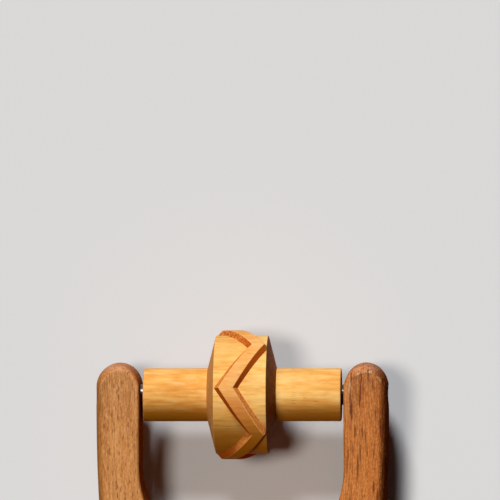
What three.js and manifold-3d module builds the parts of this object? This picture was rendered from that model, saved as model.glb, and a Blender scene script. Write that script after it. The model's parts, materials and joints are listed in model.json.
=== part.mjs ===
// Clay texture roller: a wooden yoke carries a turned roller, which spins on two steel pins.
// A raised zigzag runs round the roller's head and prints a pattern as it rolls.
// Millimetres, +Z up, +X along the axle. The roller stands on the ground, the grip lies down behind it
// towards -Y, and the origin is on the ground in the middle of the part.

import * as THREE from 'three';
import { mergeVertices } from 'three/addons/utils/BufferGeometryUtils.js';
import Module from 'manifold-3d';

// Turned roller
const bandDiameter = 50;         // over the raised zigzag
const carvingDepth = 2.1;        // from the zigzag's top to the ground of the head
const headWidth = 20.2;          // flat of the head, along the axle
const headBevelWidth = 3.3;      // on each side, from the flat to the hub
const hubDiameter = 20.6;
const hubLength = 25;            // on each side, from the bevel to the end
const hubEdgeBreak = 0.8;

// Raised zigzag
const zigzagRepeats = 4;         // round the head
const zigzagInset = 2.15;        // from the flat's left edge to its left turning points
const zigzagSwing = 12.5;        // of its left side, between turning points, along the axle
const leftTurnWidth = 5.5;       // its top at a left turning point, along the axle
const rightTurnWidth = 4.6;      // and at a right one
const flankAngle = THREE.MathUtils.degToRad(36);   // lean of its sides from upright
const restTurn = THREE.MathUtils.degToRad(5);      // how far a left turning point lies past the top
const buriedDepth = 1;           // how far the sides run on inside the head before the two are joined

// Yoke, measured from the axle along the board
const boardThickness = 22;
const prongWidth = 17.3;
const sideGap = 1.05;            // between a hub's end and its prong
const prongTip = 12.2;
const prongTipRound = 9.5;       // length of the rounded end
const crotchCentre = 28;         // middle of the half circle between the prongs
const flankStart = 9;            // where the outer side stops being straight
const flankRadius = 650;
const shoulderStart = 45;        // where the outer side turns in to the neck
const shoulderReach = 34;        // how far the shoulder's curve carries on outwards
const neckReach = 30;            // how far the neck's curve carries on upwards
const neckPlace = 102;
const neckWidth = 25;
const gripWidth = 31;
const gripEnd = 160;
const gripEndRound = 22;         // from the widest place of the grip to its end
const innerEdgeRadius = 1.2;     // of the fork opening
const outerEdgeWidth = 3.7;      // the outer side is an oval nose: how far it comes in over the faces
const outerEdgeDropShare = 0.9;  // and how much of half the board's thickness it takes down the side
const gripEdgeRadius = 6;
const edgeChangeStart = 66;      // where the outer edges start to change towards the grip
const edgeChangeEnd = 106;

// Pins and bushes
const pinDiameter = 8;
const pinReach = 13;             // inside the hub
const pinRecess = 0.5;           // below the prong's outer side
const pinEdgeBreak = 0.6;
const bushWall = 1.5;
const bushLength = 15;
const bushRecess = 0.4;          // below the hub's end
const bushEdgeBreak = 0.3;
const boreRunOut = 1.5;          // bore beyond the bush
const runningGap = 0.2;          // between pin and bush, on the radius
const seatGap = 0.2;             // round a fixed pin or bush, on the radius
const cutOverrun = 2;            // how far a cutter stands out of what it cuts

// How finely curves are divided
const armSteps = 12;             // along one arm of the zigzag
const turnSteps = 2 * zigzagRepeats * armSteps;
const boreSteps = 48;
const tipSteps = 20;
const crotchSteps = 22;
const flankSteps = 4;
const shoulderSteps = 18;
const gripSteps = 9;
const gripEndSteps = 13;
const edgeSteps = 6;

// Sizes that follow from those above
const bandRadius = bandDiameter / 2;
const groundRadius = bandRadius - carvingDepth;
const hubRadius = hubDiameter / 2;
const headHalf = headWidth / 2;
const hubStart = headHalf + headBevelWidth;
const rollerHalf = hubStart + hubLength;
const pinRadius = pinDiameter / 2;
const bushBore = pinRadius + runningGap;
const bushRadius = bushBore + bushWall;
const hubBore = bushRadius + seatGap;
const hubBoreEnd = rollerHalf - bushRecess - bushLength - boreRunOut;
const prongBore = pinRadius + seatGap;
const prongInside = rollerHalf + sideGap;
const prongOutside = prongInside + prongWidth;
const boardHalf = boardThickness / 2;
const outerEdgeDrop = outerEdgeDropShare * boardHalf;
const gripPlace = gripEnd - gripEndRound;

const wasm = await Module();
wasm.setup();

const beech = new THREE.MeshStandardMaterial({ color: 0xc08a55, roughness: 0.55, metalness: 0 });
const hornbeam = new THREE.MeshStandardMaterial({ color: 0xe0a558, roughness: 0.5, metalness: 0 });
const polishedSteel = new THREE.MeshStandardMaterial({ color: 0xd8dade, roughness: 0.12, metalness: 1 });
const bronze = new THREE.MeshStandardMaterial({ color: 0xb08a4a, roughness: 0.4, metalness: 1 });

function toSolid(geometry) {
  const bare = geometry.clone();
  bare.deleteAttribute('normal');
  bare.deleteAttribute('uv');
  const merged = mergeVertices(bare);
  const vertProperties = new Float32Array(merged.attributes.position.array);
  const triVerts = new Uint32Array(merged.index.array);
  return new wasm.Manifold(new wasm.Mesh({ numProp: 3, vertProperties, triVerts }));
}

function fromSolid(solid) {
  const mesh = solid.getMesh();
  return meshGeometry(Array.from(mesh.vertProperties), Array.from(mesh.triVerts));
}

function meshGeometry(positions, triangles) {
  const geometry = new THREE.BufferGeometry();
  geometry.setAttribute('position', new THREE.Float32BufferAttribute(positions, 3));
  geometry.setIndex(triangles);
  geometry.computeVertexNormals();
  return geometry;
}

// A turned body along +X. The profile lists [place along the axle, radius], from low X to high X outside.
function turned(profile, steps) {
  const points = profile.map(([place, radius]) => new THREE.Vector2(radius, place));
  return new THREE.LatheGeometry(points, steps).rotateZ(-Math.PI / 2);
}

// Head and hubs at the ground radius, with the blind bore for a bush in each end
function rollerBody() {
  const halfProfile = [
    [headHalf, groundRadius],
    [hubStart, hubRadius],
    [rollerHalf - hubEdgeBreak, hubRadius],
    [rollerHalf, hubRadius - hubEdgeBreak],
    [rollerHalf, hubBore],
    [hubBoreEnd, hubBore],
    [hubBoreEnd, 0],
  ];
  const mirrored = halfProfile.map(([place, radius]) => [-place, radius]).reverse();
  return turned([...mirrored, ...halfProfile], turnSteps);
}

// The head before carving: its bevels run on up to the top of the zigzag
function headBlank() {
  const bevelSlope = headBevelWidth / (groundRadius - hubRadius);
  const topHalf = headHalf - carvingDepth * bevelSlope;
  return turned([
    [-hubStart, 0],
    [-hubStart, hubRadius],
    [-topHalf, bandRadius],
    [topHalf, bandRadius],
    [hubStart, hubRadius],
    [hubStart, 0],
  ], turnSteps);
}

// Both sides of the zigzag's top along the axle, a given number of steps from a left turning point
function zigzagSides(step) {
  const armsShare = (step % (2 * armSteps)) / armSteps;
  const swingShare = Math.min(armsShare, 2 - armsShare);
  const left = zigzagInset - headHalf + zigzagSwing * swingShare;
  return [left, left + THREE.MathUtils.lerp(leftTurnWidth, rightTurnWidth, swingShare)];
}

// One closed ribbon with leaning sides, which follows the zigzag round the head
function zigzagRibbon() {
  const halfPitch = Math.PI * bandDiameter / (2 * zigzagRepeats);
  const armAngle = Math.atan2(zigzagSwing, halfPitch);
  const leanPerDepth = Math.tan(flankAngle) / Math.cos(armAngle);
  const footDepth = carvingDepth + buriedDepth;
  const footLean = leanPerDepth * footDepth;
  const footRadius = bandRadius - footDepth;
  const positions = [];
  for (let step = 0; step < turnSteps; step += 1) {
    const turn = step / turnSteps * 2 * Math.PI;
    const [left, right] = zigzagSides(step);
    const section = [
      [left, bandRadius],
      [right, bandRadius],
      [right + footLean, footRadius],
      [left - footLean, footRadius],
    ];
    for (const [place, radius] of section) {
      positions.push(place, radius * Math.sin(turn), radius * Math.cos(turn));
    }
  }
  return meshGeometry(positions, loopTriangles(turnSteps, positions.length / 3 / turnSteps));
}

// Skin of a ring made of like sections, the last joined to the first
function loopTriangles(sections, corners) {
  const triangles = [];
  for (let section = 0; section < sections; section += 1) {
    const here = section * corners;
    const next = (section + 1) % sections * corners;
    for (let corner = 0; corner < corners; corner += 1) {
      const other = (corner + 1) % corners;
      triangles.push(here + corner, here + other, next + other);
      triangles.push(here + corner, next + other, next + corner);
    }
  }
  return triangles;
}

function textureRoller() {
  const band = toSolid(zigzagRibbon()).intersect(toSolid(headBlank()));
  return fromSolid(toSolid(rollerBody()).add(band));
}

// Right-hand half of the board's outline, from the bottom of the crotch to the end of the grip
function halfOutline() {
  const prongMiddle = (prongInside + prongOutside) / 2;
  const tipCentre = prongTip - prongTipRound;
  const flankTurn = Math.asin((shoulderStart - flankStart) / flankRadius);
  const shoulder = new THREE.Vector2(prongOutside - flankRadius * (1 - Math.cos(flankTurn)), -shoulderStart);
  const flankWay = new THREE.Vector2(-Math.sin(flankTurn), -Math.cos(flankTurn));
  const neck = new THREE.Vector2(neckWidth / 2, -neckPlace);
  const grip = new THREE.Vector2(gripWidth / 2, -gripPlace);
  const gripPull = (gripPlace - neckPlace) / 3;
  const down = (point, length) => new THREE.Vector2(point.x, point.y - length);
  const pieces = [
    [new THREE.EllipseCurve(0, -crotchCentre, prongInside, prongInside, -Math.PI / 2, 0), crotchSteps],
    [new THREE.EllipseCurve(prongMiddle, tipCentre, prongWidth / 2, prongTipRound,
      Math.PI, 0, true), tipSteps],
    [new THREE.EllipseCurve(prongOutside - flankRadius, -flankStart, flankRadius, flankRadius,
      0, -flankTurn, true), flankSteps],
    [new THREE.CubicBezierCurve(shoulder, shoulder.clone().addScaledVector(flankWay, shoulderReach),
      down(neck, -neckReach), neck), shoulderSteps],
    [new THREE.CubicBezierCurve(neck, down(neck, gripPull), down(grip, -gripPull), grip), gripSteps],
    [new THREE.EllipseCurve(0, -gripPlace, gripWidth / 2, gripEnd - gripPlace,
      0, -Math.PI / 2, true), gripEndSteps],
  ];
  return withoutDoubles(pieces.flatMap(([curve, steps]) => curve.getPoints(steps)));
}

function withoutDoubles(points) {
  const tiny = innerEdgeRadius / 1000;
  return points.filter((point, index) => index === 0 || point.distanceTo(points[index - 1]) > tiny);
}

// The whole outline, clockwise seen from above, with both middle points once
function boardOutline() {
  const right = halfOutline();
  const left = right.slice(1, -1).reverse().map((point) => new THREE.Vector2(-point.x, point.y));
  return [...right, ...left];
}

// Unit vectors across the outline, pointing into the wood
function inwardDirections(outline) {
  return outline.map((_, index) => {
    const before = outline[(index + outline.length - 1) % outline.length];
    const after = outline[(index + 1) % outline.length];
    const along = after.clone().sub(before).normalize();
    return new THREE.Vector2(along.y, -along.x);
  });
}

// 0 on the sides of the fork opening, 1 on the outer side, and in between round a prong's tip
function outerShareAt(point) {
  const fromMiddle = Math.hypot(point.x, Math.min(point.y + crotchCentre, 0));
  return THREE.MathUtils.clamp((fromMiddle - prongInside) / prongWidth, 0, 1);
}

// The quarter oval that rounds the edge here: its width over the face and its drop down the side.
// On the grip it is a quarter circle.
function edgeOvalAt(point) {
  const outerShare = outerShareAt(point);
  const gripShare = THREE.MathUtils.smoothstep(-point.y, edgeChangeStart, edgeChangeEnd);
  const width = THREE.MathUtils.lerp(innerEdgeRadius, outerEdgeWidth, outerShare);
  const drop = THREE.MathUtils.lerp(innerEdgeRadius, outerEdgeDrop, outerShare);
  return {
    width: THREE.MathUtils.lerp(width, gripEdgeRadius, gripShare * outerShare),
    drop: THREE.MathUtils.lerp(drop, gripEdgeRadius, gripShare * outerShare),
  };
}

// A board with rounded edges: rings of the outline, each drawn in and raised along a quarter oval
function roundedBoard() {
  const outline = boardOutline();
  const inward = inwardDirections(outline);
  const lean = Array.from({ length: edgeSteps + 1 }, (_, step) => step / edgeSteps * Math.PI / 2);
  const under = lean.slice().reverse().map((angle) => ({ angle, upper: false }));
  const levels = [...under, ...lean.map((angle) => ({ angle, upper: true }))];
  const positions = [];
  for (const { angle, upper } of levels) {
    outline.forEach((point, index) => {
      const { width, drop } = edgeOvalAt(point);
      const across = width * Math.cos(angle);
      const up = drop * Math.sin(angle);
      const length = Math.hypot(across, up);
      const drawnIn = width - width * across / length;
      const height = boardHalf - drop + drop * up / length;
      const place = point.clone().addScaledVector(inward[index], drawnIn);
      positions.push(place.x, place.y, upper ? height : -height);
    });
  }
  return meshGeometry(positions, ringTriangles(outline, positions, levels.length));
}

function ringTriangles(outline, positions, ringCount) {
  const count = outline.length;
  const triangles = [];
  for (let ring = 0; ring < ringCount - 1; ring += 1) {
    for (let index = 0; index < count; index += 1) {
      const next = (index + 1) % count;
      const low = ring * count;
      const high = low + count;
      triangles.push(low + index, high + next, low + next);
      triangles.push(low + index, high + index, high + next);
    }
  }
  const topStart = (ringCount - 1) * count;
  const face = outline.map((_, index) => new THREE.Vector2(positions[3 * index], positions[3 * index + 1]));
  for (const [a, b, c] of THREE.ShapeUtils.triangulateShape(face, [])) {
    triangles.push(topStart + a, topStart + b, topStart + c);
    triangles.push(a, c, b);
  }
  return triangles;
}

function handleYoke() {
  const reach = prongOutside + cutOverrun;
  const drill = turned([[-reach, 0], [-reach, prongBore], [reach, prongBore], [reach, 0]], boreSteps);
  return fromSolid(toSolid(roundedBoard()).subtract(toSolid(drill)));
}

function axlePin() {
  const inner = rollerHalf - pinReach;
  const outer = prongOutside - pinRecess;
  return turned([
    [inner, 0],
    [inner, pinRadius - pinEdgeBreak],
    [inner + pinEdgeBreak, pinRadius],
    [outer - pinEdgeBreak, pinRadius],
    [outer, pinRadius - pinEdgeBreak],
    [outer, 0],
  ], boreSteps);
}

function hubBush() {
  const outer = rollerHalf - bushRecess;
  const inner = outer - bushLength;
  return turned([
    [inner, bushBore],
    [inner, bushRadius],
    [outer - bushEdgeBreak, bushRadius],
    [outer, bushRadius - bushEdgeBreak],
    [outer, bushBore],
    [inner, bushBore],
  ], boreSteps);
}

function part(name, geometry, material) {
  const mesh = new THREE.Mesh(geometry, material);
  mesh.name = name;
  return mesh;
}

// The same piece on the left: turned half round about the upright axis
function onTheLeft(mesh) {
  mesh.rotation.z = Math.PI;
  return mesh;
}

// The tilt that lets the grip's rounded end touch the ground while the roller stands on it
function restTilt() {
  const along = gripEnd - gripEdgeRadius;
  const across = boardHalf - gripEdgeRadius;
  const drop = bandRadius - gripEdgeRadius;
  return Math.asin(drop / Math.hypot(along, across)) - Math.atan2(across, along);
}

function gripReach(tilt) {
  const along = gripEnd - gripEdgeRadius;
  const across = boardHalf - gripEdgeRadius;
  return along * Math.cos(tilt) + across * Math.sin(tilt) + gripEdgeRadius;
}

const tilt = restTilt();
const axle = new THREE.Vector3(0, (gripReach(tilt) - bandRadius) / 2, bandRadius);

const handle = new THREE.Group();
handle.rotation.x = tilt;
handle.add(
  part('handle_yoke', handleYoke(), beech),
  part('right_axle_pin', axlePin(), polishedSteel),
  onTheLeft(part('left_axle_pin', axlePin(), polishedSteel)),
);

const roller = new THREE.Group();
roller.rotation.x = -restTurn;
roller.add(
  part('texture_roller', textureRoller(), hornbeam),
  part('right_hub_bush', hubBush(), bronze),
  onTheLeft(part('left_hub_bush', hubBush(), bronze)),
);

const clayRoller = new THREE.Group();
clayRoller.position.copy(axle);
clayRoller.add(handle, roller);

export default clayRoller;
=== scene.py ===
import json
import math

import bmesh
import bpy
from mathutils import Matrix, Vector


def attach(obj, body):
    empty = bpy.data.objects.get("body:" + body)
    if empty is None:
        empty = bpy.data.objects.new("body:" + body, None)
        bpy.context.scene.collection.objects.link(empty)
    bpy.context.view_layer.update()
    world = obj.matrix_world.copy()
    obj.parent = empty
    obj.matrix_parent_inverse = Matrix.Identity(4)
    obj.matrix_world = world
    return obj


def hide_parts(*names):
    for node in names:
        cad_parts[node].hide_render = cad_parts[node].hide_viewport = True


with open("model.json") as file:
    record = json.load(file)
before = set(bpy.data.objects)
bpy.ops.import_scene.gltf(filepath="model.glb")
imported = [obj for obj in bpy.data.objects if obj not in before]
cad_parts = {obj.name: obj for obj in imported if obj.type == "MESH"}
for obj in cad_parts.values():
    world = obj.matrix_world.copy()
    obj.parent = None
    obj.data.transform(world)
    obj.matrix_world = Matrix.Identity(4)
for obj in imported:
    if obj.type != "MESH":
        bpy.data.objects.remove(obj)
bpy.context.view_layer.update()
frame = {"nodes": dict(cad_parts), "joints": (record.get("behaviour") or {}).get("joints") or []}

scene = bpy.context.scene
scene.view_settings.view_transform = "Standard"
mm = 0.001

axle = {
    "place": frame["joints"][0]["pos_m"],    # middle of the roller, metres
    "boardTilt": math.radians(5.2237),       # the yoke leans back on its grip
    "restTurn": math.radians(5),             # how far the zigzag is turned at rest
}


class Sock:    # a node socket that Python can calculate with
    def __init__(self, tree, socket=None):
        self.tree = tree
        self.socket = socket

    def node(self, kind, settings=None, values=None, output=0):
        made = self.tree.nodes.new(kind)
        for name, setting in (settings or {}).items():
            if name == "choices":
                while len(made.index_switch_items) < setting:
                    made.index_switch_items.new()
            else:
                setattr(made, name, setting)
        for name, value in (values or {}).items():
            if isinstance(value, Sock):
                self.tree.links.new(value.socket, made.inputs[name])
            else:
                made.inputs[name].default_value = value
        return Sock(self.tree, made.outputs[output] if made.outputs else None)

    def out(self, name):               # another output of the same node
        return Sock(self.tree, self.socket.node.outputs[name])

    def maths(self, operation, *others):
        return self.node("ShaderNodeMath", {"operation": operation}, dict(enumerate([self, *others])))

    def swapped(self, operation, other):
        return self.node("ShaderNodeMath", {"operation": operation}, {0: other, 1: self})

    def __add__(self, other):
        return self.maths("ADD", other)

    def __radd__(self, other):
        return self.maths("ADD", other)

    def __sub__(self, other):
        return self.maths("SUBTRACT", other)

    def __rsub__(self, other):
        return self.swapped("SUBTRACT", other)

    def __mul__(self, other):
        return self.maths("MULTIPLY", other)

    def __rmul__(self, other):
        return self.maths("MULTIPLY", other)

    def __truediv__(self, other):
        return self.maths("DIVIDE", other)

    def __rtruediv__(self, other):
        return self.swapped("DIVIDE", other)

    def __neg__(self):
        return self.maths("MULTIPLY", -1.0)

    def clamped(self):
        return self.maths("MAXIMUM", 0.0).maths("MINIMUM", 1.0)

    def between(self, low, high):      # 0 below low, 1 above high, smooth in between
        values = {"Value": self, "From Min": low, "From Max": high}
        return self.node("ShaderNodeMapRange", {"interpolation_type": "SMOOTHSTEP"}, values)

    def shared(self, first, second):   # the first number where self is 0, the second where it is 1
        return first + (second - first) * self

    def mixed(self, first, second):    # the same for two colours
        return self.node("ShaderNodeMix", {"data_type": "RGBA"}, {0: self, 6: first, 7: second}, 2)

    def bumped(self, distance, strength):    # the normal that self gives as a height
        values = {"Height": self, "Distance": distance, "Strength": strength}
        return self.node("ShaderNodeBump", None, values)


def linear(red, green, blue):          # a screen colour, 0 to 255, through the standard screen curve
    def channel(level):
        share = level / 255
        return share / 12.92 if share <= 0.04045 else ((share + 0.055) / 1.055) ** 2.4
    return (channel(red), channel(green), channel(blue), 1.0)


def newMaterial(name):
    material = bpy.data.materials.new(name)
    material.use_nodes = True
    material.node_tree.nodes.clear()
    return material, Sock(material.node_tree)


def finishSurface(start, values):
    surface = start.node("ShaderNodeBsdfPrincipled", None, values)
    start.node("ShaderNodeOutputMaterial", None, {"Surface": surface})


cameraSet = {
    "place": (0.1, 0.026408, 1.825),   # high above the work, a little to the right
    "turn": (3.088, 3.0867, 0.0403),   # degrees about x, y and z
    "lens": 334.68,
    "sensor": 36.0,
}


def makeCamera(cfg):
    data = bpy.data.cameras.new("camera")
    data.sensor_width = cfg["sensor"]
    data.lens = cfg["lens"]
    camera = bpy.data.objects.new("camera", data)
    camera.location = cfg["place"]
    camera.rotation_euler = [math.radians(angle) for angle in cfg["turn"]]
    scene.collection.objects.link(camera)
    scene.camera = camera


makeCamera(cameraSet)
print("camera ready")

studio = {
    "floorColour": (219, 218, 217),
    "backColour": (226, 226, 225),
    "bounceColour": (128, 88, 54),     # what the floor gives back to the shaded sides
    "floorRadius": 6.0,
    "floorSides": 96,
    "floorRoughness": 0.9,
    "floorShine": 0.1,
    "lamps": {                         # direction towards the lamp, strength, width seen from here, tone
        "farLamp": ((-0.152, 0.75, 0.66), 2.9, math.radians(13), (0.918, 0.956, 1.0)),
        "topLamp": ((-0.30, 0.0, 1.0), 1.37, math.radians(14), (1.0, 0.94, 0.87)),
    },
    "fillStrength": 0.01,              # the light from all round
    "backStrength": 1.0,
}


def seenDirectly(start):               # 1 for the camera and for what shines or lets light through
    path = start.node("ShaderNodeLightPath", None, None, "Is Camera Ray")
    return (path + path.out("Is Glossy Ray") + path.out("Is Transmission Ray")).clamped()


def makeFloor(cfg):
    mesh = bpy.data.meshes.new("floor")
    shape = bmesh.new()
    bmesh.ops.create_circle(shape, cap_ends=True, segments=cfg["floorSides"], radius=cfg["floorRadius"])
    shape.to_mesh(mesh)
    shape.free()
    floor = bpy.data.objects.new("floor", mesh)
    scene.collection.objects.link(floor)
    material, start = newMaterial("paleFloor")
    colour = seenDirectly(start).mixed(linear(*cfg["bounceColour"]), linear(*cfg["floorColour"]))
    finishSurface(start, {"Base Color": colour, "Roughness": cfg["floorRoughness"],
                          "Specular IOR Level": cfg["floorShine"]})
    mesh.materials.append(material)


def makeLamps(cfg):
    for name, (direction, strength, width, tone) in cfg["lamps"].items():
        data = bpy.data.lights.new(name, "SUN")
        data.energy = strength
        data.angle = width
        data.color = tone
        lamp = bpy.data.objects.new(name, data)
        lamp.rotation_euler = Vector(direction).to_track_quat("Z", "Y").to_euler()
        scene.collection.objects.link(lamp)


def makeBackdrop(cfg):
    world = bpy.data.worlds.new("studioWorld")
    scene.world = world
    world.use_nodes = True
    world.node_tree.nodes.clear()
    start = Sock(world.node_tree)
    fill = start.node("ShaderNodeBackground", None,
                      {"Color": (1, 1, 1, 1), "Strength": cfg["fillStrength"]})
    back = start.node("ShaderNodeBackground", None,
                      {"Color": linear(*cfg["backColour"]), "Strength": cfg["backStrength"]})
    light = start.node("ShaderNodeMixShader", None, {0: seenDirectly(start), 1: fill, 2: back})
    start.node("ShaderNodeOutputWorld", None, {"Surface": light})


makeFloor(studio)
makeLamps(studio)
makeBackdrop(studio)
print("floor and light ready")


class Grain:    # a piece's own turned frame in millimetres, and the patterns that run along its grain
    seedSpread = (1.0, 1.7, 0.6)       # how far a pattern's seed moves it along each axis
    middleGrey = (0.5, 0.5, 0.5)

    def __init__(self, start, turn, axis):
        self.start = start
        self.axis = axis
        seen = start.node("ShaderNodeTexCoord", None, None, "Object")
        self.normal = start.node("ShaderNodeMapping", {"vector_type": "TEXTURE"},
                                 {"Vector": seen.out("Normal"), "Rotation": (turn, 0, 0)})
        self.place = start.node("ShaderNodeMapping", {"vector_type": "TEXTURE"}, {
            "Vector": seen, "Location": axle["place"], "Rotation": (turn, 0, 0), "Scale": (mm, mm, mm)})

    def split(self, vector, axis):
        return self.start.node("ShaderNodeSeparateXYZ", None, {0: vector}, axis)

    def at(self, axis):                # the place along an axis, from the middle of the roller
        return self.split(self.place, axis)

    def facing(self, axis):            # how far a face looks along an axis, -1 to 1
        return self.split(self.normal, axis)

    def bend(self, amount, size, stretch=0.3):    # lets the grain wander by an amount over a size
        drift = self.noise(stretch / size, 1 / size, detail=1.0, colour=True)
        centred = self.start.node("ShaderNodeVectorMath", {"operation": "SUBTRACT"},
                                  {0: drift, 1: self.middleGrey})
        grown = self.start.node("ShaderNodeVectorMath", {"operation": "SCALE"},
                                {0: centred, "Scale": amount})
        self.place = self.start.node("ShaderNodeVectorMath", {"operation": "ADD"},
                                     {0: self.place, 1: grown})

    def stretched(self, along, across, seed):
        scale = [across, across, across]
        scale[self.axis] = along
        shift = [seed * spread for spread in self.seedSpread]
        return self.start.node("ShaderNodeMapping", {"vector_type": "POINT"},
                               {"Vector": self.place, "Scale": scale, "Location": shift})

    def noise(self, along, across, seed=0.0, detail=2.0, rough=0.5, colour=False):
        values = {"Vector": self.stretched(along, across, seed), "Scale": 1.0,
                  "Detail": detail, "Roughness": rough}
        return self.start.node("ShaderNodeTexNoise", None, values, "Color" if colour else 0)

    def mask(self, along, across, seed, detail, rough, low, high):
        return self.noise(along, across, seed, detail, rough).between(low, high)

    def flecks(self, along, across, seed, size, kept, core=0.35, fade=0.15):    # lens-shaped pores
        cell = self.start.node("ShaderNodeTexVoronoi", {"feature": "F1"},
                               {"Vector": self.stretched(along, across, seed), "Scale": 1.0})
        dice = self.split(cell.out("Color"), 0)
        chosen = dice.between(1 - kept, 1 - kept + fade)
        return (1 - cell.between(size * core, size)) * chosen


yokeWood = {
    "sideColours": {                   # on the left prong and on the right one
        "base": ((220, 153, 85), (209, 124, 52)),
        # painted shade on the outer rounded edges, darkest on the right prong
        "edge": ((172, 110, 46), (138, 62, 4)),
        "pale": ((232, 174, 116), (226, 156, 92)),
        "deep": ((160, 92, 34), (140, 62, 8)),
        "pores": ((118, 54, 16), (84, 28, 4)),
    },
    "colours": {
        "dark": (160, 88, 30),
        "outerShade": (84, 40, 10),         # painted shade on the outer sides, strongest on the right prong, whose outer side faces away from the lamps
        # painted shade on the inner sides, strongest on the left prong, whose inner side faces away from the
        # lamps
        "innerShade": (120, 44, 6),
        "end": (212, 159, 138),
        "dirt": (132, 84, 50),
        "band": (216, 144, 88),        # painted light on the rounded edge outside the face of a tip, which also gets no dirt
        "rimHighlight": (240, 196, 150),        # painted highlight: a bright line around the face of each tip
        "red": (184, 92, 32),
    },
    "sideShares": {                    # how much of each shows on the left and on the right
        "edge": (0.5, 0.85),
        "outerShade": (0.1, 0.7),
        "innerShade": (0.55, 0.25),
        "stain": (0.2, 0.75),
        "rimHighlight": (0.15, 0.8),
        "red": (0.12, 0.45),
        "speck": (0.55, 0.65),
        "short": (0.85, 0.5),
        "longer": (0.4, 1.0),
        "longest": (0.0, 1.0),
    },
    "shares": {                        # the same on both sides
        "broad": 0.25,
        "streak": 0.35,
        "fibre": 0.62,
        "end": 0.65,
        "dirt": 0.6,
        "cleanDirt": 0.25,             # of the dirt, where there is no stain
        "band": 0.4,
        "pores": 0.85,
    },
    "grain": {                         # per mm along and across, seed, detail, roughness, low and high
        "broad": (0.012, 0.22, 3.1, 2.0, 0.5, 0.32, 0.68),
        "streak": (0.035, 0.8, 7.7, 3.0, 0.6, 0.35, 0.68),
        "fibre": (0.13, 1.9, 1.3, 3.0, 0.65, 0.3, 0.7),
        "speck": (0.85, 2.3, 4.4, 2.0, 0.5, 0.3, 0.7),
        "red": (0.02, 0.45, 8.2, 2.0, 0.5, 0.45, 0.7),
        "stain": (0.07, 0.16, 2.6, 3.0, 0.6, 0.35, 0.65),
        # breaks the painted highlight line into patches
        "patches": (0.35, 0.35, 6.6, 2.0, 0.5, 0.40, 0.62),
    },
    "pores": {                         # per mm along and across, seed, size, share that is kept
        "short": (0.30, 1.7, 5.0, 0.46, 0.42),
        "longer": (0.12, 1.15, 9.0, 0.48, 0.5),
        "longest": (0.07, 0.95, 3.0, 0.44, 0.45),
    },
    "bend": (1.6, 22.0),               # mm
    "sideChange": (-25.0, 25.0),       # mm, where the left tone turns into the right one
    "dirtReach": (-22.0, 9.0),         # mm along the board, the tips are handled most
    "edgeReach": (49.0, 56.5),         # mm from the middle, the outer rounded edges, which get painted shade
    "tipOval": (48.1, 2.7, 8.65, 9.5), # mm: middle and centre of the tip, half width, rounded length
    "bandReach": (0.73, 0.81),         # share of a tip's outline
    "bandAlong": (-16.0, 2.0),         # mm along the board
    "rimInside": (0.67, 0.72),         # share of a tip's outline, where the painted highlight line starts
    "rimOutside": (0.75, 0.81),        # and where it ends
    "rimAlong": (-2.0, 6.0),           # mm along the board
    "outerFacing": (0.02, 0.7),        # how far a face looks that way, where it starts and is full
    "innerFacing": (0.2, 0.8),
    "endFacing": (0.45, 0.95),
    "coatFacing": (0.3, 0.9),
    "coatWeight": 0.25,
    "coatRoughness": 0.4,
    "roughness": 0.55,
    "poreRoughness": 0.25,
    "fibreRoughness": 0.12,
    "relief": {"fibre": 0.4, "streak": 0.2, "pores": 0.8},
    "bumpHeight": 0.2 * mm,
    "bumpStrength": 0.6,
}


def tipMasks(cfg, wood):               # the painted highlight line, and the painted light on the rounded edge around the face of each tip
    middle, centre, halfWidth, length = cfg["tipOval"]
    along = wood.at(1)
    sideways = (wood.at(0).maths("ABSOLUTE") - middle) / halfWidth
    upwards = (along - centre).maths("MAXIMUM", 0.0) / length
    tipEdge = (sideways * sideways + upwards * upwards).maths("SQRT")    # 1 on the outline of a tip
    rimHighlight = (tipEdge.between(*cfg["rimInside"]) * (1 - tipEdge.between(*cfg["rimOutside"]))
           * along.between(*cfg["rimAlong"]))
    return rimHighlight, tipEdge.between(*cfg["bandReach"]) * along.between(*cfg["bandAlong"])


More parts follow.
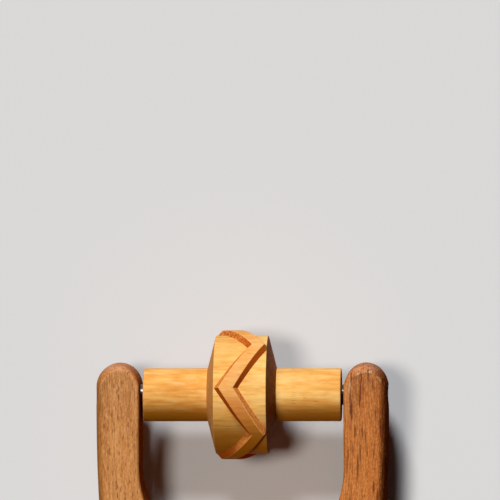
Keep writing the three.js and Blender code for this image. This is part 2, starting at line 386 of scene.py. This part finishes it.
def makeYokeWood(cfg):
    material, start = newMaterial("oiledBeech")
    wood = Grain(start, axle["boardTilt"], 1)
    side = wood.at(0).between(*cfg["sideChange"])
    paint = {name: linear(*colour) for name, colour in cfg["colours"].items()}
    for name, (left, right) in cfg["sideColours"].items():
        paint[name] = side.mixed(linear(*left), linear(*right))
    share = dict(cfg["shares"])
    for name, (left, right) in cfg["sideShares"].items():
        share[name] = side.shared(left, right)

    outward = wood.facing(0) * wood.at(0).maths("SIGN")
    # the sides that face outwards, which get painted shade
    outerShade = outward.between(*cfg["outerFacing"])
    rimHighlight, band = tipMasks(cfg, wood)
    handled = wood.at(1).between(*cfg["dirtReach"]) * (1 - band)
    masks = {
        # painted shade on the outer rounded edges
        "edge": wood.at(0).maths("ABSOLUTE").between(*cfg["edgeReach"]),
        "outerShade": outerShade,
        # painted shade on the sides that face inwards
        "innerShade": (-outward).between(*cfg["innerFacing"]),
        "end": wood.facing(1).maths("ABSOLUTE").between(*cfg["endFacing"]),
    }
    wood.bend(*cfg["bend"])
    grain = {name: wood.mask(*numbers) for name, numbers in cfg["grain"].items()}
    pores = sum(wood.flecks(*numbers) * share[name] for name, numbers in cfg["pores"].items()).clamped()
    masks["dirt"] = handled * (share["cleanDirt"] + grain["stain"] * share["stain"])
    # painted light on the rounded edge of each tip, not on the outer sides
    masks["band"] = band * (1 - outerShade)
    # painted highlight line around each tip, broken into patches
    masks["rimHighlight"] = rimHighlight * grain["patches"]
    masks["red"] = grain["red"]

    streaks = grain["broad"] * share["broad"] + grain["streak"] * share["streak"]
    colour = streaks.mixed(paint["base"], paint["dark"])
    for name, mask in masks.items():
        colour = (mask * share[name]).mixed(colour, paint[name])
    change = (grain["fibre"] - 0.5) * share["fibre"] + (grain["speck"] - 0.5) * share["speck"]
    colour = (-change).clamped().mixed(colour, paint["deep"])
    colour = change.clamped().mixed(colour, paint["pale"])
    colour = (pores * share["pores"]).mixed(colour, paint["pores"])
    relief = cfg["relief"]
    height = (grain["fibre"] * relief["fibre"] + grain["streak"] * relief["streak"]
              - pores * relief["pores"])
    roughness = (cfg["roughness"] + pores * cfg["poreRoughness"]
                 + (grain["fibre"] - 0.5) * cfg["fibreRoughness"])
    finishSurface(start, {
        "Base Color": colour, "Roughness": roughness,
        "Normal": height.bumped(cfg["bumpHeight"], cfg["bumpStrength"]), "Specular IOR Level": 0.0,
        "Coat Weight": wood.facing(2).between(*cfg["coatFacing"]) * cfg["coatWeight"],
        "Coat Roughness": cfg["coatRoughness"]})
    return material


copyFinish = {                         # for the pieces that keep their CAD shape
    "weldDistance": 0.002 * mm,
    "sharpAngle": math.radians(35),
    "flatWeight": 100,                 # how much the large faces decide the shading
}


def smoothCopy(cfg, node, name):       # a CAD node's shape as one joined, smoothly shaded mesh
    mesh = frame["nodes"][node].data.copy()
    mesh.name = name
    shape = bmesh.new()
    shape.from_mesh(mesh)
    bmesh.ops.remove_doubles(shape, verts=shape.verts, dist=cfg["weldDistance"])
    shape.to_mesh(mesh)
    shape.free()
    mesh.materials.clear()
    mesh.polygons.foreach_set("use_smooth", [True] * len(mesh.polygons))
    mesh.set_sharp_from_angle(angle=cfg["sharpAngle"])
    rough = bpy.data.objects.new(name + "Draft", mesh)
    scene.collection.objects.link(rough)
    weighted = rough.modifiers.new("evenShading", "WEIGHTED_NORMAL")
    weighted.mode = "FACE_AREA"
    weighted.weight = cfg["flatWeight"]
    weighted.keep_sharp = True
    return plainCopy(rough, name)


def plainCopy(draft, name):            # the draft with its modifiers made real
    bpy.context.view_layer.update()
    evaluated = draft.evaluated_get(bpy.context.evaluated_depsgraph_get())
    mesh = bpy.data.meshes.new_from_object(evaluated)
    mesh.name = name
    piece = bpy.data.objects.new(name, mesh)
    scene.collection.objects.link(piece)
    bpy.data.objects.remove(draft)
    return piece


def dress(piece, material, slot, body, *nodes):
    piece.data.materials.clear()
    piece.data.materials.append(material)
    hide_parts(*nodes)
    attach(piece, body)
    print(piece.name, "ready,", len(piece.data.polygons), "faces")


dress(smoothCopy(copyFinish, "handle_yoke", "yoke"), makeYokeWood(yokeWood),
      "yoke_wood", "handle", "handle_yoke")

pinSteel = {
    "colour": (92, 90, 90),
    "darkReflectionColour": (34, 27, 24),         # painted dark reflection on the lower half
    "darkReflectionFacing": (-0.35, 0.1),         # how far down a face looks, where the painted dark reflection starts and is full
    "lines": (9.0, 0.3, 2.0, 2.0),     # per mm along and across, seed, detail
    "smear": (0.4, 0.6, 4.0, 3.0),
    "roughness": 0.25,
    "roughnessChange": 0.12,
    "lineHeight": 0.03 * mm,
    "bumpStrength": 0.5,
}


def makePinSteel(cfg):
    material, start = newMaterial("polishedSteel")
    metal = Grain(start, 0.0, 0)
    lines = metal.noise(*cfg["lines"])
    smear = metal.noise(*cfg["smear"])
    # painted dark reflection on the lower half
    darkReflection = (-metal.facing(1)).between(*cfg["darkReflectionFacing"])
    change = (lines - 0.5) * cfg["roughnessChange"] + (smear - 0.5) * cfg["roughnessChange"]
    finishSurface(start, {
        "Base Color": darkReflection.mixed(linear(*cfg["colour"]), linear(*cfg["darkReflectionColour"])), "Metallic": 1.0,
        "Roughness": cfg["roughness"] + change,
        "Normal": lines.bumped(cfg["lineHeight"], cfg["bumpStrength"])})
    return material


steel = makePinSteel(pinSteel)
for sideName in ("left", "right"):
    node = sideName + "_axle_pin"
    dress(smoothCopy(copyFinish, node, sideName + "Pin"), steel, "pin_steel", "handle", node)

bushBronze = {
    "colour": (176, 138, 80),
    "tarnish": (120, 88, 52),
    "stain": (0.3, 0.3, 1.0, 4.0, 0.5, 0.35, 0.7),    # per mm, seed, detail, roughness, low and high
    "pits": (3.0, 3.0, 6.0, 0.4, 0.5), # per mm along and across, seed, size, share that is kept
    "stainShare": 0.6,
    "pitShare": 0.3,
    "roughness": 0.42,
    "stainRoughness": 0.15,
    "pitHeight": 0.05 * mm,
    "bumpStrength": 0.6,
}


def makeBushBronze(cfg):
    material, start = newMaterial("sinteredBronze")
    metal = Grain(start, 0.0, 0)
    stain = metal.mask(*cfg["stain"])
    pits = metal.flecks(*cfg["pits"])
    patches = (stain * cfg["stainShare"] + pits * cfg["pitShare"]).clamped()
    finishSurface(start, {
        "Base Color": patches.mixed(linear(*cfg["colour"]), linear(*cfg["tarnish"])), "Metallic": 1.0,
        "Roughness": cfg["roughness"] + stain * cfg["stainRoughness"],
        "Normal": (1 - pits).bumped(cfg["pitHeight"], cfg["bumpStrength"])})
    return material


bronze = makeBushBronze(bushBronze)
for sideName in ("left", "right"):
    node = sideName + "_hub_bush"
    dress(smoothCopy(copyFinish, node, sideName + "Bush"), bronze, "bush_bronze", "roller", node)

turnedRoller = {                       # metres and radians, counts are whole numbers
    "Band Radius": 25.0 * mm,
    "Carving Depth": 2.1 * mm,
    "Head Half": 10.1 * mm,
    "Bevel Width": 3.3 * mm,
    "Hub Radius": 10.3 * mm,
    "Left Hub Length": 24.7 * mm,
    "Right Hub Length": 25.0 * mm,
    "Hub Edge Break": 0.5 * mm,
    "Bore Radius": 5.9 * mm,
    "Bore Depth": 16.9 * mm,
    "Bore Edge Break": 0.3 * mm,
    "Soft Edge": 0.1 * mm,
    "Zigzag Inset": 2.15 * mm,
    "Zigzag Swing": 12.5 * mm,
    "Left Turn Width": 5.5 * mm,
    "Right Turn Width": 4.6 * mm,
    "Flank Angle": math.radians(36),
    "Repeats": 4,
    "Rows": 288,                       # a whole number of rows for each arm of the zigzag
    "Weld Distance": 0.001 * mm,
}


def halfSection(size, edge, lean, hubLength):    # [place, radius] from the band's edge to the hub's end
    groundRadius = size["Band Radius"] - size["Carving Depth"]
    bevelSlope = size["Bevel Width"] / (groundRadius - size["Hub Radius"])
    topHalf = size["Head Half"] - size["Carving Depth"] * bevelSlope
    wallRun = size["Carving Depth"] * (lean - bevelSlope)
    share = ((topHalf - edge) / wallRun).clamped()    # less than 1 where the bevel cuts the wall
    top = edge.maths("MINIMUM", topHalf)
    soft = size["Soft Edge"]
    hubStart = size["Head Half"] + size["Bevel Width"]
    hubEnd = hubStart + hubLength
    hubBreak = size["Hub Edge Break"]
    roundMiddle = 0.3    # how far the middle of a rounded edge stays from its corner, as a share
    boreBreak = size["Bore Edge Break"]
    return [
        (top - soft, size["Band Radius"]),
        (top + lean * soft * share, size["Band Radius"] - soft * share),
        (top + lean * size["Carving Depth"] * share, size["Band Radius"] - size["Carving Depth"] * share),
        (size["Head Half"] - soft * share, groundRadius),
        (size["Head Half"] + bevelSlope * soft * share, groundRadius - soft * share),
        (hubStart, size["Hub Radius"]),
        (hubEnd - hubBreak, size["Hub Radius"]),
        (hubEnd - hubBreak * roundMiddle, size["Hub Radius"] - hubBreak * roundMiddle),
        (hubEnd, size["Hub Radius"] - hubBreak),
        (hubEnd, size["Bore Radius"] + boreBreak),
        (hubEnd - boreBreak, size["Bore Radius"]),
        (hubEnd - size["Bore Depth"], size["Bore Radius"]),
        (hubEnd - size["Bore Depth"], 0.0),
    ]


def rollerColumns(size, swingShare):   # [place along the axle, radius] from the left end to the right
    armRun = math.pi * size["Band Radius"] / size["Repeats"]
    armRise = size["Zigzag Swing"] / armRun
    lean = size["Flank Angle"].maths("TANGENT") * (1 + armRise * armRise).maths("SQRT")
    left = size["Zigzag Inset"] - size["Head Half"] + size["Zigzag Swing"] * swingShare
    widening = (size["Right Turn Width"] - size["Left Turn Width"]) * swingShare
    right = left + size["Left Turn Width"] + widening
    leftHalf = halfSection(size, -left, lean, size["Left Hub Length"])
    rightHalf = halfSection(size, right, lean, size["Right Hub Length"])
    return [(-place, radius) for place, radius in reversed(leftHalf)] + rightHalf


def makeRollerTree(sizes, material):
    tree = bpy.data.node_groups.new("turnedRoller", "GeometryNodeTree")
    tree.interface.new_socket(name="Geometry", in_out="OUTPUT", socket_type="NodeSocketGeometry")
    sockets = {}
    for name, value in sizes.items():
        kind = "NodeSocketInt" if isinstance(value, int) else "NodeSocketFloat"
        sockets[name] = tree.interface.new_socket(name=name, in_out="INPUT", socket_type=kind)
    start = Sock(tree)
    first = start.node("NodeGroupInput")
    size = {name: first.out(name) for name in sizes}
    index = start.node("GeometryNodeInputIndex")
    guard = 0.0005                     # keeps a whole quotient from being rounded down
    tolerance = 0.1                    # a strip's number counts as equal within this
    perColumn = size["Rows"] + 1
    column = (index / perColumn + guard).maths("FLOOR")
    row = index - column * perColumn
    armsShare = (row * size["Repeats"] * 2 / size["Rows"]).maths("MODULO", 2.0)
    swingShare = armsShare.maths("MINIMUM", 2 - armsShare)    # 0 at a left turn, 1 at a right turn
    columns = rollerColumns(size, swingShare)
    settings = {"data_type": "FLOAT", "choices": len(columns)}

    def pick(options):                 # the option of the point's own column
        values = {0: column}
        values.update({number + 1: option for number, option in enumerate(options)})
        return start.node("GeometryNodeIndexSwitch", settings, values)

    place = pick([place for place, radius in columns])
    radius = pick([radius for place, radius in columns])
    turn = row * (2 * math.pi) / size["Rows"] + axle["restTurn"]
    middle = axle["place"]
    across = middle[1] + radius * turn.maths("SINE")
    height = middle[2] + radius * turn.maths("COSINE")
    position = start.node("ShaderNodeCombineXYZ", None, {0: place, 1: across, 2: height})
    grid = start.node("GeometryNodeMeshGrid", None,
                      {"Vertices X": len(columns), "Vertices Y": perColumn})
    marked = grid
    half = len(columns) // 2
    strip = (index / size["Rows"] + guard).maths("FLOOR")    # a face's place in the section
    for name, strips in {"carvedWall": (half - 3, half + 1), "bandTop": (half - 1,)}.items():
        mask = sum(strip.maths("COMPARE", number, tolerance) for number in strips)
        marked = start.node("GeometryNodeStoreNamedAttribute", {"data_type": "FLOAT", "domain": "FACE"},
                            {"Geometry": marked, "Name": name, "Value": mask})
    shaped = start.node("GeometryNodeSetPosition", None, {"Geometry": marked, "Position": position})
    joined = start.node("GeometryNodeMergeByDistance", None,
                        {"Geometry": shaped, "Distance": size["Weld Distance"]})
    real = start.node("GeometryNodeRealizeInstances", None, {"Geometry": joined})
    painted = start.node("GeometryNodeSetMaterial", None, {"Geometry": real, "Material": material})
    start.node("NodeGroupOutput", None, {"Geometry": painted})
    return tree, sockets


rollerWood = {
    "colours": {
        "base": (254, 202, 114),
        "warm": (240, 164, 76),
        "dark": (200, 118, 38),
        "light": (255, 222, 158),
        "deep": (206, 116, 30),
        "band": (235, 154, 88),
        # painted shade on the band where it faces down
        "bandLowShade": (198, 94, 6),
        "wall": (230, 140, 67),
        "wallDark": (148, 60, 8),
        "wallShaded": (178, 74, 0),    # painted shade on the walls that face down
        # painted light on the walls that face upwards round the axle
        "wallLitSmooth": (226, 142, 68),
        "leftEnd": (184, 118, 60),
        # end grain of the right bevel, with painted shade, as it faces away from the lamps
        "rightEndShade": (113, 42, 0),
        "undersideShade": (184, 114, 0),    # painted shade on the sides that face down
        "pores": (190, 98, 34),
    },
    "headShares": {                    # how much of each shows on the hubs and on the head
        "broad": (0.6, 0.35),
        "fibre": (0.34, 0.18),
        "fine": (0.5, 0.65),
    },
    "shares": {                        # the same all over
        "warmMottle": 0.2,
        "mottle": 0.45,
        "leftHub": 0.26,
        "leftShade": 0.2,
        "lessWarm": 0.2,               # on the right of the head, which got less oil
        "lighter": 0.1,
        "streak": 0.3,
        "band": 0.35,
        "bandMottle": 0.4,
        "bandLowShade": 0.55,
        "scuffs": 0.5,
        "undersideShade": 0.93,
        "end": 0.6,
        "endLathe": 0.25,
        "endRightShade": 0.15,
        "wall": 0.96,
        "wallLitSmooth": 0.4,
        "wallShaded": 0.92,
        "pores": 0.35,
    },
    "grain": {                         # per mm along and across, seed, detail, roughness, low and high
        "broad": (0.045, 0.17, 2.2, 2.0, 0.5, 0.35, 0.65),
        "streak": (0.07, 0.75, 6.1, 3.0, 0.6, 0.38, 0.66),
        "fibre": (0.10, 0.75, 8.8, 2.0, 0.5, 0.3, 0.7),
        "mottle": (0.10, 0.30, 1.9, 3.0, 0.6, 0.3, 0.7),
        "scuffs": (0.8, 1.2, 7.1, 3.0, 0.6, 0.64, 0.72),
    },
    "fine": (0.35, 2.2, 3.7, 2.0),     # per mm along and across, seed, detail
    "lathe": (0.35, 0.35, 3.3, 3.0),
    "chips": (1.0, 1.0, 5.5, 4.0, 0.65),
    "chipRange": (0.32, 0.66),
    "pores": (0.24, 1.5, 4.0, 0.36, 0.3),    # per mm along and across, seed, size, share that is kept
    "bend": (1.5, 11.0),               # mm
    "headReach": (12.0, 14.0),         # mm from the middle, where the head turns into a hub
    "leftHubReach": (-16.0, -11.0),    # mm, where the left hub's deeper tone ends
    "lessOilReach": (2.0, 8.0),        # mm, where the paler right of the head starts
    "rightReach": (-3.0, 3.0),         # mm, where the left bevel's colour turns into the right bevel's painted shade
    "endFacing": (0.72, 0.95),         # how far a face looks that way, where it starts and is full
    "leftShadeFacing": (-0.6, 0.1),
    "bandLowFacing": (0.0, 0.3),
    "undersideFacing": (0.15, 1.0),
    "shadedFacing": (-0.1, 0.25),
    "shadedTurn": 0.025,               # how much less a wall that faces upwards round the axle counts towards the painted shade, per mm
    "smoothTurn": (2.0, 8.0),          # mm, where such a wall starts to get painted light: lighter, with fewer dark chips
    "roughness": 0.55,
    "wallRoughness": 0.3,
    "fibreRoughness": 0.15,
    "shine": 0.02,
    "relief": {"fibre": 0.4, "streak": 0.2, "pores": 0.4, "chips": 1.6},
    "bumpHeight": 0.18 * mm,
    "bumpStrength": 0.6,
}


def makeRollerWood(cfg):
    material, start = newMaterial("oiledHornbeam")
    wood = Grain(start, -axle["restTurn"], 0)
    wall = start.node("ShaderNodeAttribute", {"attribute_name": "carvedWall"}, None, "Fac")
    top = start.node("ShaderNodeAttribute", {"attribute_name": "bandTop"}, None, "Fac")
    side = wood.at(0)
    head = 1 - side.maths("ABSOLUTE").between(*cfg["headReach"])
    leftHub = 1 - side.between(*cfg["leftHubReach"])
    lessOil = head * side.between(*cfg["lessOilReach"])
    rightHalf = side.between(*cfg["rightReach"])
    endGrain = wood.facing(0).maths("ABSOLUTE").between(*cfg["endFacing"])
    downward = -wood.facing(1)
    turned = wood.at(2) * wood.facing(1) - wood.at(1) * wood.facing(2)    # how a wall faces round the axle
    paint = {name: linear(*colour) for name, colour in cfg["colours"].items()}
    share = dict(cfg["shares"])
    for name, (onHub, onHead) in cfg["headShares"].items():
        share[name] = head.shared(onHub, onHead)

    wood.bend(*cfg["bend"])
    grain = {name: wood.mask(*numbers) for name, numbers in cfg["grain"].items()}
    fine = wood.noise(*cfg["fine"])
    lathe = wood.noise(*cfg["lathe"])
    chips = wood.noise(*cfg["chips"])
    pores = wood.flecks(*cfg["pores"])

    warmth = (grain["broad"] * share["broad"] + grain["mottle"] * share["warmMottle"]
              + leftHub * share["leftHub"] - lessOil * share["lessWarm"]).clamped()
    colour = warmth.mixed(paint["base"], paint["warm"])
    # painted shade on the lower side of the left hub
    leftShade = leftHub * downward.between(*cfg["leftShadeFacing"]) * share["leftShade"]
    colour = (grain["streak"] * share["streak"] + leftShade).mixed(colour, paint["dark"])
    bandShare = share["band"] + grain["mottle"] * share["bandMottle"]
    colour = (top * bandShare).mixed(colour, paint["band"])
    change = ((grain["fibre"] - 0.5) * share["fibre"] + (grain["mottle"] - 0.5) * share["mottle"]
              + (fine - 0.5) * share["fine"] + lessOil * share["lighter"])
    colour = change.clamped().mixed(colour, paint["light"])
    colour = (-change).clamped().mixed(colour, paint["deep"])
    colour = (top * grain["scuffs"] * share["scuffs"]).mixed(colour, paint["light"])
    # painted shade on the band where it faces down
    bandLowShade = top * downward.between(*cfg["bandLowFacing"]) * share["bandLowShade"]
    colour = bandLowShade.mixed(colour, paint["bandLowShade"])
    # painted shade on the sides that face down
    undersideShade = downward.between(*cfg["undersideFacing"]) * share["undersideShade"]
    colour = undersideShade.mixed(colour, paint["undersideShade"])
    # end grain, with painted shade on the right bevel
    endShare = share["end"] + lathe * share["endLathe"] + rightHalf * share["endRightShade"]
    colour = (endGrain * endShare).mixed(colour, rightHalf.mixed(paint["leftEnd"], paint["rightEndShade"]))

    wallColour = chips.between(*cfg["chipRange"]).mixed(paint["wallDark"], paint["wall"])
    # painted light on the walls that face upwards round the axle
    smooth = turned.between(*cfg["smoothTurn"]) * share["wallLitSmooth"]
    wallColour = smooth.mixed(wallColour, paint["wallLitSmooth"])
    # painted shade on the walls that face down round the axle
    shaded = (downward - turned * cfg["shadedTurn"]).between(*cfg["shadedFacing"])
    wallColour = (shaded * share["wallShaded"]).mixed(wallColour, paint["wallShaded"])
    colour = (wall * share["wall"]).mixed(colour, wallColour)
    colour = (pores * share["pores"]).mixed(colour, paint["pores"])

    relief = cfg["relief"]
    height = (grain["fibre"] * relief["fibre"] + grain["streak"] * relief["streak"]
              - pores * relief["pores"] + wall * chips * (relief["chips"] - shaded))
    roughness = (cfg["roughness"] + wall * cfg["wallRoughness"]
                 + (grain["fibre"] - 0.5) * cfg["fibreRoughness"])
    finishSurface(start, {
        "Base Color": colour, "Roughness": roughness,
        "Normal": height.bumped(cfg["bumpHeight"], cfg["bumpStrength"]),
        "Specular IOR Level": cfg["shine"]})
    return material


def makeRoller(sizes, material, sharpAngle=math.radians(20)):
    tree, sockets = makeRollerTree(sizes, material)
    draft = bpy.data.objects.new("rollerDraft", bpy.data.meshes.new("rollerDraft"))
    modifier = draft.modifiers.new("turnedRoller", "NODES")
    modifier.node_group = tree
    for name, value in sizes.items():
        modifier[sockets[name].identifier] = value
    scene.collection.objects.link(draft)
    roller = plainCopy(draft, "roller")
    shape = bmesh.new()
    shape.from_mesh(roller.data)
    print("roller volume", round(shape.calc_volume(signed=True) / mm ** 3), "cubic mm, open edges",
          sum(not edge.is_manifold for edge in shape.edges))
    shape.free()
    roller.data.polygons.foreach_set("use_smooth", [True] * len(roller.data.polygons))
    roller.data.set_sharp_from_angle(angle=sharpAngle)
    return roller


hornbeam = makeRollerWood(rollerWood)
dress(makeRoller(turnedRoller, hornbeam), hornbeam, "roller_wood", "roller", "texture_roller")
